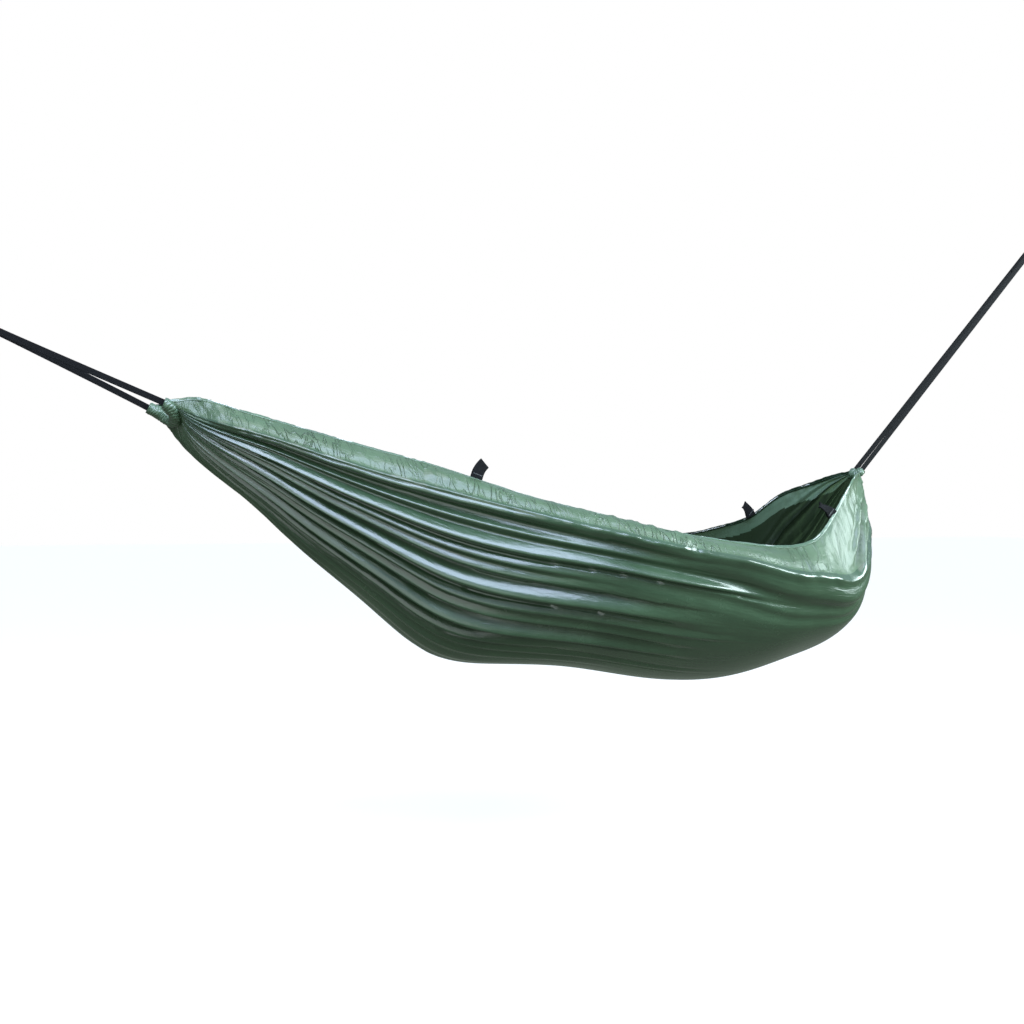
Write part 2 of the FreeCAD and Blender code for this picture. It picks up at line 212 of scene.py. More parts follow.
def coated_fabric(name, outside, inside, through, rough, coat=0.62, wrinkled=False):
    """Thin ripstop cloth with a shiny coating: the weave's grid, soft creases and a patchy gloss."""
    n = Nodes(name)
    metres = n.mapped("UV", (1, 1, 1))
    along = n.mapped("UV", (2.2, 16, 1))
    patches = n.noise(metres, 5.0, 5, 0.6)
    streaks = n.noise(along, 2.0, 4, 0.55)
    worn = n.ramp(patches, "Fac", [(0.30, 0.78), (0.70, 1.12)])
    tint = n.ramp(streaks, "Fac", [(0.35, (0.90, 0.95, 0.92)), (0.70, (1.08, 1.04, 1.02))])
    face = n.add("ShaderNodeNewGeometry")
    # the back face takes the inside colour: painted shade for the bed and the lip, and painted sky light
    # for the lip's pale band
    colour = n.mix((face, "Backfacing"), outside, inside)
    colour = n.mix(1.0, (colour, "Result"), (worn, "Color"), "MULTIPLY")
    colour = n.mix(1.0, (colour, "Result"), (tint, "Color"), "MULTIPLY")
    # ripstop: the crests of two sets of bands are the heavier yarns
    grid_u = n.ramp(n.wave(metres, RIPSTOP_BANDS, "X"), "Fac", [(0.90, 0.0), (0.99, 1.0)])
    grid_v = n.ramp(n.wave(metres, RIPSTOP_BANDS, "Y"), "Fac", [(0.90, 0.0), (0.99, 1.0)])
    grid = n.math("MAXIMUM", (grid_u, "Color"), (grid_v, "Color"))
    darker = n.mix((grid, "Value"), (1, 1, 1), (0.94, 0.95, 0.95))
    colour = n.mix(1.0, (colour, "Result"), (darker, "Result"), "MULTIPLY")
    n.tree.links.new(colour.outputs["Result"], n.shader.inputs["Base Color"])
    gloss = n.ramp(patches, "Fac", [(0.30, rough - 0.06), (0.72, rough + 0.08)])
    n.link(gloss, "Color", n.shader, "Roughness")
    n.set(IOR=1.5, Coat_Roughness=0.13)
    # only the outside is coated
    coated = n.ramp(face, "Backfacing", [(0.0, coat), (1.0, 0.0)])
    n.link(coated, "Color", n.shader, "Coat Weight")
    shine = n.ramp(face, "Backfacing", [(0.0, 0.55), (1.0, 0.13)])
    n.link(shine, "Color", n.shader, "Specular IOR Level")
    weave_u, weave_v = n.wave(metres, WEAVE_BANDS, "X"), n.wave(metres, WEAVE_BANDS, "Y")
    weave = n.math("ADD", (weave_u, "Fac"), (weave_v, "Fac"))
    relief = n.bump(weave, "Value", 0.00003, 0.2)
    relief = n.bump(grid, "Value", 0.00008, 0.12, relief)
    creases = n.noise(n.mapped("UV", (3.5, 20, 1)), 4.0, 3, 0.5, 0.6)
    relief = n.bump(creases, "Fac", 0.0035, 0.45, relief)
    crumple = n.noise(metres, 30, 2, 0.5, 0.3)
    relief = n.bump(crumple, "Fac", 0.0006, 0.2, relief)
    if wrinkled:
        # clusters of sharp creases across the edge, where the elastic bunches it
        folds = n.noise(n.mapped("UV", (30, 9, 1)), 1.0, 2, 0.5, 0.9)
        sharp = n.ramp(folds, "Fac", [(0.45, 0.0), (0.50, 1.0), (0.55, 0.0)])
        where = n.ramp(n.noise(metres, 3.3, 2, 0.5), "Fac", [(0.42, 0.2), (0.60, 1.0)])
        part = n.add("ShaderNodeSeparateXYZ")
        n.link(n.mapped("UV", (1 / FABRIC_LENGTH, 1, 1)), "Vector", part, "Vector")
        pulled = n.ramp(part, "X", [(WRINKLED_TO, 1.0), (SMOOTH_FROM, 0.12)])
        where = n.math("MULTIPLY", (where, "Color"), (pulled, "Color"))
        wrinkles = n.math("MULTIPLY", (sharp, "Color"), (where, "Value"))
        relief = n.bump(wrinkles, "Value", 0.006, 0.9, relief)
    n.link(relief, "Normal", n.shader, "Normal")
    # the cloth is thin enough to glow where light falls on its other face
    glow, blend = n.add("ShaderNodeBsdfTranslucent"), n.add("ShaderNodeMixShader")
    glow.inputs["Color"].default_value = (*through, 1)
    blend.inputs[0].default_value = THROUGH_SHARE
    n.link(n.shader, "BSDF", blend, 1)
    n.link(glow, "BSDF", blend, 2)
    n.link(blend, "Shader", n.out, "Surface")
    return n.material


def webbing(name, dark, light):
    """Flat woven tape: ribs across it in a herringbone, and the fuzz of its fibres."""
    n = Nodes(name)
    metres = n.mapped("UV", (1, 1, 1))
    ribs = n.wave(n.mapped("UV", (1, 1, 1), (0, 0, RIB_TURN)), RIB_BANDS, "Y", 0.3)
    counter = n.wave(n.mapped("UV", (1, 1, 1), (0, 0, -RIB_TURN)), RIB_BANDS, "Y", 0.3)
    split = n.ramp(n.wave(metres, HALF_BANDS, "X"), "Fac", [(0.48, 0.0), (0.52, 1.0)])
    bone = n.mix((split, "Color"), (ribs, "Color"), (counter, "Color"))
    fuzz = n.noise(metres, 900, 3, 0.7)
    shade = n.mix((bone, "Result"), dark, light)
    shade = n.mix(0.35, (shade, "Result"), (fuzz, "Color"), "MULTIPLY")
    n.tree.links.new(shade.outputs["Result"], n.shader.inputs["Base Color"])
    n.set(Roughness=0.8, Specular_IOR_Level=0.14)
    relief = n.bump(bone, "Result", 0.00035, 0.8)
    relief = n.bump(fuzz, "Fac", 0.00012, 0.5, relief)
    n.link(relief, "Normal", n.shader, "Normal")
    return n.material


def thread(name, colour):
    n = Nodes(name)
    twist = n.wave(n.mapped("Object", (1, 1, 1), (0.3, 0.4, 0.8)), 700, "X", 0.4)
    shade = n.mix((twist, "Fac"), tuple(0.55 * c for c in colour), tuple(1.3 * c for c in colour))
    n.tree.links.new(shade.outputs["Result"], n.shader.inputs["Base Color"])
    n.set(Roughness=0.5, Sheen_Weight=0.2)
    n.link(n.bump(twist, "Fac", 0.0002, 0.8), "Normal", n.shader, "Normal")
    return n.material


def anodised(name, colour, rough):
    """Satin anodised bar with fine drawing marks and rubbed places."""
    n = Nodes(name)
    marks = n.noise(n.mapped("Object", (40, 900, 40)), 6.0, 3, 0.6)
    rubs = n.noise(n.mapped("Object", (1, 1, 1)), 60, 5, 0.6)
    shade = n.mix((n.ramp(rubs, "Fac", [(0.55, 0.0), (0.8, 1.0)]), "Color"), colour,
                  tuple(min(1, 2.2 * c + 0.03) for c in colour))
    n.tree.links.new(shade.outputs["Result"], n.shader.inputs["Base Color"])
    gloss = n.ramp(marks, "Fac", [(0.3, rough - 0.07), (0.7, rough + 0.1)])
    n.link(gloss, "Color", n.shader, "Roughness")
    n.set(Metallic=0.85, Coat_Weight=0.2, Coat_Roughness=0.2)
    n.link(n.bump(marks, "Fac", 0.00005, 0.4), "Normal", n.shader, "Normal")
    return n.material


def steel(name):
    n = Nodes(name)
    marks = n.noise(n.mapped("Object", (60, 1400, 60)), 8.0, 3, 0.6)
    shade = n.mix((marks, "Fac"), (0.42, 0.42, 0.43), (0.72, 0.72, 0.73))
    n.tree.links.new(shade.outputs["Result"], n.shader.inputs["Base Color"])
    gloss = n.ramp(marks, "Fac", [(0.3, 0.22), (0.7, 0.36)])
    n.link(gloss, "Color", n.shader, "Roughness")
    n.set(Metallic=1.0)
    return n.material


def covered_elastic(name):
    n = Nodes(name)
    braid = n.wave(n.mapped("UV", (1, 1, 1), (0, 0, math.radians(40))), 300, "X", 0.2)
    shade = n.mix((braid, "Fac"), (0.42, 0.42, 0.40), (0.78, 0.78, 0.74))
    n.tree.links.new(shade.outputs["Result"], n.shader.inputs["Base Color"])
    n.set(Roughness=0.7, Sheen_Weight=0.2)
    n.link(n.bump(braid, "Fac", 0.0003, 0.8), "Normal", n.shader, "Normal")
    return n.material


# The inside colour of the bed and the lip is near black: painted shade for the hollow of the hammock,
# which the lights above would otherwise light.
PAINTED_SHADE_INSIDE, DIM_THROUGH, LIP_SIDE_PAINTED_LIGHT = (0.006, 0.010, 0.006), (0.09, 0.15, 0.07), (0.062, 0.105, 0.053)
BED = coated_fabric("coated_cloth", (0.036, 0.070, 0.036), PAINTED_SHADE_INSIDE, DIM_THROUGH, rough=0.22)
# The lip's outside is painted paler than the belly's, though it is the same cloth: painted light where the
# lip faces up to the lights.
LIP = coated_fabric("lip_cloth_painted_light", LIP_SIDE_PAINTED_LIGHT, PAINTED_SHADE_INSIDE, DIM_THROUGH,
                    rough=0.40, coat=0.15, wrinkled=True)
# A band of the lip's inside next to its edge is painted pale: painted sky light on the lip's inner face,
# which faces up.
LIP_BACK = coated_fabric("lip_band_painted_light", LIP_SIDE_PAINTED_LIGHT, (0.070, 0.110, 0.078), (0.16, 0.26, 0.12),
                         rough=0.40, coat=0.15, wrinkled=True)
HEM = coated_fabric("hem_cloth", (0.070, 0.125, 0.070), (0.010, 0.022, 0.012), (0.18, 0.28, 0.13),
                    rough=0.36)
WEBBING = webbing("black_webbing", (0.0012, 0.0012, 0.0013), (0.0055, 0.0055, 0.0060))
THREAD = thread("black_thread", (0.020, 0.020, 0.021))
GREEN_THREAD = thread("green_thread", (0.055, 0.110, 0.060))
ALUMINIUM = anodised("dark_aluminium", (0.045, 0.045, 0.050), 0.34)
STEEL = steel("bare_steel")
ELASTIC = covered_elastic("white_elastic")


# ---- shape helpers ----

def new_piece(name, points, faces, uvs, material):
    """A piece of the hammock's body. uvs has one pair, in metres, for each corner of each face."""
    mesh = bpy.data.meshes.new(name)
    mesh.from_pydata([tuple(p) for p in points], [], [tuple(f) for f in faces])
    layer = mesh.uv_layers.new(name="metres")
    layer.data.foreach_set("uv", np.asarray(uvs, np.float32).ravel())
    mesh.polygons.foreach_set("use_smooth", [True] * len(mesh.polygons))
    mesh.materials.append(material)
    mesh.update()
    piece = bpy.data.objects.new(name, mesh)
    bpy.context.scene.collection.objects.link(piece)
    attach(piece, "hammock")
    return piece


def grid_piece(name, grid, uv, material, ring=False, caps=False):
    """A sheet or tube over a grid of points (along, across, 3).

    A ring closes across, and its uv has one column more than its points."""
    rows, columns = grid.shape[:2]
    i, j = np.meshgrid(np.arange(rows - 1), np.arange(columns if ring else columns - 1), indexing="ij")
    i, j = i.ravel(), j.ravel()
    k = (j + 1) % columns
    here, ahead = i * columns, (i + 1) * columns
    faces = np.stack([here + j, here + k, ahead + k, ahead + j], 1)
    uvs = np.stack([uv[i, j], uv[i, j + 1], uv[i + 1, j + 1], uv[i + 1, j]], 1).reshape(-1, 2)
    faces = faces.tolist()
    if caps:
        last = (rows - 1) * columns
        faces += [list(range(columns))[::-1], list(range(last, last + columns))]
        uvs = np.vstack([uvs, uv[0, :columns][::-1], uv[-1, :columns]])
    return new_piece(name, grid.reshape(-1, 3), faces, uvs, material)


def unit(vectors):
    return vectors / np.maximum(np.linalg.norm(vectors, axis=-1, keepdims=True), 1e-12)


def lengths_along(points):
    steps = np.linalg.norm(np.diff(points, axis=0), axis=-1)
    return np.concatenate([[0.0], np.cumsum(steps)])


def even_steps(points, count):
    """The same line with its points at equal distances."""
    run = lengths_along(points)
    at = np.linspace(0, run[-1], count)
    return np.stack([np.interp(at, run, points[:, k]) for k in range(points.shape[1])], 1)


def spline_through(t, values):
    """The natural cubic spline through values at t, as a function."""
    t, values = np.asarray(t, float), np.asarray(values, float)
    h, count = np.diff(t), len(t)
    slope = np.diff(values, axis=0) / h.reshape((-1,) + (1,) * (values.ndim - 1))
    system, right = np.eye(count), np.zeros_like(values)
    for i in range(1, count - 1):
        system[i, i - 1:i + 2] = h[i - 1], 2 * (h[i - 1] + h[i]), h[i]
        right[i] = 6 * (slope[i] - slope[i - 1])
    bend = np.linalg.solve(system, right.reshape(count, -1)).reshape(values.shape)

    def at(x):
        x = np.asarray(x, float)
        i = np.clip(np.searchsorted(t, x, side="right") - 1, 0, count - 2)
        shape = x.shape + (1,) * (values.ndim - 1)
        after, before, step = (a.reshape(shape) for a in (x - t[i], t[i + 1] - x, h[i]))
        return ((bend[i] * before ** 3 + bend[i + 1] * after ** 3) / (6 * step)
                + (values[i] / step - bend[i] * step / 6) * before
                + (values[i + 1] / step - bend[i + 1] * step / 6) * after)

    return at


NOISE_CELLS = 64


def noise(seed, *coordinates):
    """Smooth seeded noise from -1 to 1 with a period of about 1 in each coordinate."""
    arrays = np.broadcast_arrays(*coordinates)
    cells = [np.floor(a).astype(int) for a in arrays]
    parts = [a - c for a, c in zip(arrays, cells)]
    parts = [p * p * (3 - 2 * p) for p in parts]
    table = np.random.default_rng(seed).uniform(-1, 1, (NOISE_CELLS,) * len(arrays))
    total = np.zeros(arrays[0].shape)
    for corner in np.ndindex(*(2,) * len(arrays)):
        weight = np.ones(arrays[0].shape)
        for bit, part in zip(corner, parts):
            weight = weight * (part if bit else 1 - part)
        total += weight * table[tuple((c + bit) % NOISE_CELLS for c, bit in zip(cells, corner))]
    return total


def smoothstep(low, high, x):
    t = np.clip((x - low) / (high - low), 0, 1)
    return t * t * (3 - 2 * t)


# ---- slings ----

# Webbing's section in shares of its width and thickness, thicker along both sides and the middle
TAPE = [(-0.5, -0.30), (-0.492, -0.46), (-0.44, -0.50), (-0.25, -0.47), (0.0, -0.49), (0.25, -0.47),
        (0.44, -0.50), (0.492, -0.46), (0.5, -0.30), (0.5, 0.30), (0.492, 0.46), (0.44, 0.50),
        (0.25, 0.47), (0.0, 0.49), (-0.25, 0.47), (-0.44, 0.50), (-0.492, 0.46), (-0.5, 0.30)]


SLING_POINTS, LAP_POINTS = {"left": 700, "right": 1200}, 30


def tape(name, path, wide, width, thick, lift=0.0):
    """Flat webbing along path.

    wide is the direction across it and width its width, each one for the whole path or for each point."""
    along = unit(np.gradient(path, axis=0))
    wide = np.broadcast_to(wide, path.shape)
    wide = unit(wide - along * np.sum(wide * along, axis=1, keepdims=True))
    out = np.cross(wide, along)
    section = np.array(TAPE)
    grid = (path[:, None] + wide[:, None] * section[None, :, :1] * np.reshape(width, (-1, 1, 1))
            + out[:, None] * (section[None, :, 1:] * thick + lift))
    run = lengths_along(path)
    across = np.append(section[:, 0], section[0, 0]) * np.max(width)
    uv = np.stack(np.broadcast_arrays(across[None, :], run[:, None]), -1)
    return grid_piece(name, grid, uv, WEBBING, ring=True, caps=True)


def route_line(name, points):
    """The points of the NURBS spline that has a route's points as its control points."""
    curve = bpy.data.curves.new(name, "CURVE")
    curve.dimensions = "3D"
    curve.resolution_u = 24
    spline = curve.splines.new("NURBS")
    spline.points.add(len(points) - 1)
    for control, point in zip(spline.points, points):
        control.co = (*point, 1)
    spline.order_u = 3
    spline.use_endpoint_u = True
    holder = bpy.data.objects.new(name, curve)
    bpy.context.scene.collection.objects.link(holder)
    line = bpy.data.meshes.new_from_object(holder)
    points = np.array([v.co for v in line.vertices])
    bpy.data.objects.remove(holder)
    return points


def turn_corners(centre, radius, first, last, count=4):
    """The corners of a route that goes round a circle, from one angle to the other."""
    step = (last - first) / count
    angles = [first + step * (i + 0.5) for i in range(count)]
    reach = radius / math.cos(step / 2)
    return [(centre + reach * math.cos(a), reach * math.sin(a)) for a in angles]


def in_sling(end, a, b):
    """The place of a point of a sling: a along it and b across it, with the end's own set."""
    facts = ENDS[end]
    u, y, w = end_axes(facts["slope"])
    past = max(a - facts["reach"], 0)
    down = facts["droop"]
    share = min((a - EYE_U) / (facts["reach"] - EYE_U), 1)
    rise = (facts["far_rise"] * b / facts["u_radius"] - facts["sag"]) * share
    return (facts["anchor"] + (a - past + past * math.cos(down)) * u + b * y
            + (rise - past * math.sin(down)) * w)


def make_sling(end):
    """A loop of webbing through the carabiner and the fabric's channel, its ends lapped and sewn."""
    facts = ENDS[end]
    u, y, w = end_axes(facts["slope"])
    low, radius = facts["reach"], facts["u_radius"]
    lean = math.asin((radius - EYE_RADIUS) / (low - EYE_U))
    strand = (low - EYE_U) * math.cos(lean)

    def on_strand(side, distance):
        return (EYE_U - EYE_RADIUS * math.sin(lean) + distance * math.cos(lean),
                side * (EYE_RADIUS * math.cos(lean) + distance * math.sin(lean)))

    quarter = math.pi / 2 + lean
    by_hook = 6 * WEBBING_WIDTH     # a control point here keeps the strand straight to the carabiner
    route = ([on_strand(-1, strand), on_strand(-1, by_hook)]
             + turn_corners(EYE_U, EYE_RADIUS, 2 * math.pi - quarter, quarter)
             + [on_strand(1, by_hook), on_strand(1, strand)]
             + turn_corners(low, radius, quarter, -quarter)
             + [on_strand(-1, strand)])
    world = [in_sling(end, a, b) for a, b in route]
    line = even_steps(route_line(end + "_sling_route", world), SLING_POINTS[end])
    piece = tape(end + "_webbing_sling", line, w, WEBBING_WIDTH, WEBBING_THICK)
    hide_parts(end + "_sling")
    ends = [facts["anchor"] + a * u + b * y
            for a, b in (on_strand(1, LAP_START), on_strand(1, LAP_START + LAP_LENGTH))]
    lap_line = ends[0] + np.linspace(0, 1, LAP_POINTS)[:, None] * (ends[1] - ends[0])
    lap = tape(end + "_sling_lap", lap_line, w, WEBBING_WIDTH, WEBBING_THICK, lift=-WEBBING_THICK)


for end in ENDS:
    make_sling(end)


# ---- bed ----

# Cross-sections of the bed, in millimetres from the left gather: (top x, top z, keel x, keel z,
# half width at the edge, half width at the crease, share of the depth at which the crease lies,
# fullness of the belly). They are the CAD's, but narrower at the right end, as the photo shows it.
STATIONS = [
    (5, -2, 49, -39, 59, 55, 0.40, 1.00),
    (46, 5, 66, -92, 63, 78, 0.40, 0.96),
    (98, 8, 112, -156, 82, 113, 0.37, 0.92),
    (209, -15, 250, -272, 119, 180, 0.26, 0.90),
    (377, -64, 410, -422, 172, 233, 0.20, 0.92),
    (600, -128, 640, -622, 217, 280, 0.16, 0.95),
    (795, -180, 820, -764, 250, 315, 0.135, 0.98),
    (1040, -258, 1045, -812, 281, 350, 0.11, 1.00),
    (1300, -320, 1300, -832, 302, 371, 0.11, 1.00),
    (1560, -378, 1560, -878, 310, 383, 0.11, 1.00),
    (1800, -415, 1800, -901, 310, 385, 0.13, 1.00),
    (1980, -430, 1985, -882, 305, 382, 0.20, 1.02),
    (2100, -409, 2140, -840, 292, 365, 0.29, 1.06),
    (2200, -330, 2285, -785, 258, 328, 0.47, 1.08),
    (2290, -232, 2375, -685, 222, 272, 0.53, 1.08),
    (2372, -185, 2430, -520, 156, 180, 0.52, 1.06),
    (2430, -176, 2462, -350, 92, 102, 0.46, 1.00),
    (2486, -165, 2472, -188, 14, 15, 0.40, 1.00),
]
# Below the crease: share of the depth left to the keel, share of the crease's half width
BELLY = [(0.45, 0.86), (0.80, 0.52)]
# How much higher than the near edge the far edge hangs, in millimetres, at these top x
FAR_LIFT = ([1560, 1800, 1980, 2100, 2200, 2290, 2372, 2430, 2486], [0, 15, 37, 42, 0, -27, -31, -10, 0])
OUTLINE_POINTS = 9
ROWS, LIP_COLUMNS, BELLY_COLUMNS = 280, 34, 284
# The crease keeps the belly's glossy cloth for these columns, and the band of painted sky light on the
# lip's back is this wide
CREASE_COLUMNS, PAINTED_LIGHT_BAND = 4, 0.060
# How far from the left gather the set of its far strand is felt in the cloth
SET_REACH = 0.30


def station_outline(station):
    """The nine places of a station's outline, from the near edge to the far edge."""
    top_x, top_z, keel_x, keel_z, edge, crease, crease_share, fullness = station
    half = [(-edge, 0.0), (-crease, crease_share)]
    half += [(-crease * wide * fullness, crease_share + (1 - crease_share) * deep) for deep, wide in BELLY]
    outline = half + [(0.0, 1.0)] + [(-y, share) for y, share in reversed(half)]
    top, keel = np.array([top_x, 0, top_z]), np.array([keel_x, 0, keel_z])
    points = [left_gather + (top + (keel - top) * share + np.array([0, y, 0])) / 1000
              for y, share in outline]
    lift = np.interp(top_x, *FAR_LIFT) / 1000
    points[-1][2] += lift
    points[-2][2] += 0.5 * lift
    return points


def run_of_rows(grid):
    """How far each row of a grid is from its first one, as a mean over the columns."""
    steps = np.linalg.norm(np.diff(grid, axis=0), axis=2)
    return np.concatenate([[0], np.cumsum(steps.mean(axis=1))])


def smooth_bed():
    """The bed without its pleats: a grid of points (along, across, 3), near edge to far edge."""
    outlines = np.array([station_outline(s) for s in STATIONS])
    run = run_of_rows(outlines)
    along = spline_through(run, outlines)
    rows = along(np.linspace(0, run[-1], ROWS))
    grid = np.zeros((ROWS, 2 * LIP_COLUMNS + BELLY_COLUMNS + 1, 3))
    for i, row in enumerate(rows):
        across = spline_through(np.arange(OUTLINE_POINTS), row)
        near = even_steps(across(np.linspace(0, 1, 40)), LIP_COLUMNS + 1)
        belly = even_steps(across(np.linspace(1, 7, 400)), BELLY_COLUMNS + 1)
        far = even_steps(across(np.linspace(7, 8, 40)), LIP_COLUMNS + 1)
        grid[i] = np.vstack([near, belly[1:], far[1:]])
    from_left = np.linspace(0, run[-1], ROWS)[:, None]
    facts = ENDS["left"]
    u, _, w = end_axes(facts["slope"])
    across = np.clip(grid[..., 1] / facts["u_radius"], -1.3, 1.3)
    fade = 1 - smoothstep(0.0, SET_REACH, from_left)
    rise = facts["far_rise"] * across * fade
    reach = facts["far_reach"] * np.clip(across, 0, 1.2) * fade
    return grid + rise[..., None] * w - reach[..., None] * u


def outward_of(grid):
    """Unit directions out of the bed at each point."""
    return unit(np.cross(np.gradient(grid, axis=1), np.gradient(grid, axis=0)))


# Where across its width a pleat is highest, and how uneven the widths are
PLEAT_CREST, PLEAT_SPREAD = 0.64, 0.38
# How much a pleat's steepness varies from one to the next
PLEAT_VIGOUR = (0.65, 1.2)
# Where the left pleats end, in metres from the left gather, and how far before that they fade
LEFT_ENDS, END_FADE = (1.45, 2.30), 0.5
# The steepness of each layer of pleats against the distance from the gather that it runs from
LEFT_STEEP = ([0, 0.06, 0.3, 0.6, 0.9, 1.2, 1.6, 2.1], [0.5, 0.9, 1.25, 1.25, 1.15, 1.05, 0.95, 0.8])
LEFT_FINE_STEEP = ([0, 0.05, 0.25, 0.5], [0.35, 0.45, 0.25, 0.0])
RIGHT_NEAR_STEEP = ([0, 0.05, 0.12, 0.20, 0.30, 0.42], [0.5, 0.9, 1.0, 0.7, 0.25, 0.0])
RIGHT_FAR_STEEP = ([0, 0.05, 0.12, 0.35, 0.60, 0.90], [0.5, 0.9, 1.0, 0.9, 0.6, 0.0])
RIGHT_FINE_STEEP = ([0, 0.05, 0.2, 0.32], [0.35, 0.4, 0.2, 0.0])
# Folds below the crease: place and how far it spreads, in shares of the belly's girth, depth in
# metres, width as a share, and where they start from the left gather
LONG_FOLDS = ((0.042, 0.060, 0.022, 0.024, 0.05), (0.098, 0.045, 0.010, 0.018, 1.0))
# Folds in the lip from the right gather: the line they follow (distance from the gather, share of
# the lip from its edge), then how far beside it each lies, its depth in metres and its width
HANGING_LINE = ([0.05, 0.26, 0.43, 0.57], [0.35, 0.43, 0.57, 0.85])
HANGING_FOLDS = ((-0.26, 0.004, 0.04), (-0.13, -0.008, 0.05), (0, 0.024, 0.055), (0.15, -0.009, 0.05))
RIDGE_HEIGHT, RIDGE_COLUMNS = 0.0110, 4.0
# The most that pleats and folds may move the cloth, against the distance from each gather
LEFT_LIMIT = ([0, 0.05, 0.3, 0.8], [0.010, 0.016, 0.030, 0.030])
RIGHT_LIMIT = ([0, 0.05, 0.3, 0.8], [0.008, 0.014, 0.032, 0.032])
# Keeps the noise on the far side apart from the near side's
FAR_SIDE_SHIFT = 31.7


def pleats(seed, count, g):
    """Irregular pleats over g from 0 to 1 that lean out towards the keel and tuck back under.

    Gives their height in shares of a pleat's width, which pleat each g is in and that pleat's width."""
    rng = np.random.default_rng(seed)
    widths = rng.uniform(1 - PLEAT_SPREAD, 1 + PLEAT_SPREAD, count)
    bounds = np.cumsum(np.concatenate([[0], widths]))
    bounds /= bounds[-1]
    g = np.clip(g, 0, 0.99999)
    which = np.clip(np.searchsorted(bounds, g, side="right") - 1, 0, count - 1)
    share = (g - bounds[which]) / (bounds[which + 1] - bounds[which])
    share = np.where(g < 0.5, share, 1 - share)
    rise = np.minimum(share / PLEAT_CREST, (1 - share) / (1 - PLEAT_CREST))
    # straight flanks, with the crest and the valley slightly rounded and the mean near 0
    height = PLEAT_CREST * (rise - 0.10 * rise ** 8 + 0.06 * (1 - rise) ** 8 - 0.52)
    return height, which, (bounds[1:] - bounds[:-1])[which]


def add_belly_folds(move, q, r, width):
    """Moves the belly into pleats from both gathers, two long folds below each crease and slack waves.

    q and r are the distances from the left and the right gather, and width is the belly's girth."""
    g = np.linspace(0, 1, BELLY_COLUMNS + 1)[None, :]
    from_crease = np.minimum(g, 1 - g)
    side = np.where(g < 0.5, 0.0, FAR_SIDE_SHIFT)

    def layer(seed, count, steep, wander, ends=None):
        drift = g + wander / count * noise(seed + 1, q * 1.7, g * 7 + side)
        height, which, share = pleats(seed, count, drift)
        rng = np.random.default_rng(seed + 2)
        vigour = rng.uniform(*PLEAT_VIGOUR, count)[which]
        if ends:
            end = rng.uniform(*ends, count)[which]
            steep = steep * (1 - smoothstep(end - END_FADE, end, q))
        return height * steep * vigour * share * width

    smooth_keel = 1 - 0.85 * smoothstep(0.30, 0.44, from_crease) * smoothstep(0.3, 0.7, q)
    near, far = np.interp(r, *RIGHT_NEAR_STEEP), np.interp(r, *RIGHT_FAR_STEEP)
    right_steep = near + (far - near) * smoothstep(0.5, 0.6, g)
    belly = slice(LIP_COLUMNS, LIP_COLUMNS + BELLY_COLUMNS + 1)
    move[:, belly] += layer(11, 26, np.interp(q, *LEFT_STEEP) * smooth_keel, 0.35, LEFT_ENDS)
    move[:, belly] += layer(23, 61, np.interp(q, *LEFT_FINE_STEEP), 0.3)
    move[:, belly] += layer(37, 15, right_steep, 0.25)
    move[:, belly] += layer(51, 43, np.interp(r, *RIGHT_FINE_STEEP), 0.3)
    for place, spread, depth, wide, first in LONG_FOLDS:
        reach = smoothstep(first, first + 0.4, q) * smoothstep(0.20, 0.42, r)
        line = place + spread * smoothstep(1.5, 2.5, q) + 0.006 * noise(71, q * 1.3, side + 0 * g)
        move[:, belly] -= depth * reach * np.exp(-((from_crease - line) / wide) ** 2)
    move[:, belly] += 0.004 * noise(81, q * 2.2, g * 5) * smoothstep(0.4, 0.9, q)


def add_lip_folds(move, q, r):
    """Moves both lips into diagonal puckers in clusters, and folds that hang from the right gather."""
    s = np.linspace(0, 1, LIP_COLUMNS + 1)[None, :]
    near_lip = np.arange(LIP_COLUMNS + 1)
    for columns, seed in ((near_lip, 90), (move.shape[1] - 1 - near_lip, 95)):
        cluster = 0.3 + 0.7 * smoothstep(-0.1, 0.45, noise(seed, q * 4.2))
        by_gathers = np.maximum(1 - smoothstep(0.2, 0.45, q), 1 - smoothstep(0.4, 0.7, r))
        cluster = np.maximum(cluster, by_gathers)
        ripple = (noise(seed + 1, q * 36 + s * 2.6, s * 1.6)
                  + 0.5 * noise(seed + 2, q * 80 - s * 4, s * 2))
        swell = noise(seed + 3, q * 7, s * 1.5)
        envelope = smoothstep(0.0, 0.12, s) * (1 - 0.35 * s)
        reach = smoothstep(0.02, 0.10, q) * smoothstep(0.02, 0.08, r)
        move[:, columns] += (0.0056 * cluster * ripple + 0.0035 * swell) * envelope * reach
        line = np.interp(r, *HANGING_LINE)
        hang = smoothstep(0.01, 0.06, r) * (1 - smoothstep(0.50, 0.62, r))
        for away, depth, wide in HANGING_FOLDS:
            move[:, columns] -= depth * hang * np.exp(-((s - line - away) / wide) ** 2)


def add_crease_ridges(move, q, r):
    """Raises a ridge that wobbles along each crease, between the lip and the belly."""
    wobble = 0.0045 * noise(99, q * 14, 0 * q) + 0.003 * noise(98, q * 33, 0 * q)
    columns = np.arange(move.shape[1])[None, :]
    for place, sign in ((LIP_COLUMNS, 1), (LIP_COLUMNS + BELLY_COLUMNS, -1)):
        near = np.exp(-((columns - place) / RIDGE_COLUMNS) ** 2)
        ridge = RIDGE_HEIGHT + wobble * sign
        move += ridge * near * smoothstep(0.10, 0.25, q) * smoothstep(0.15, 0.35, r)


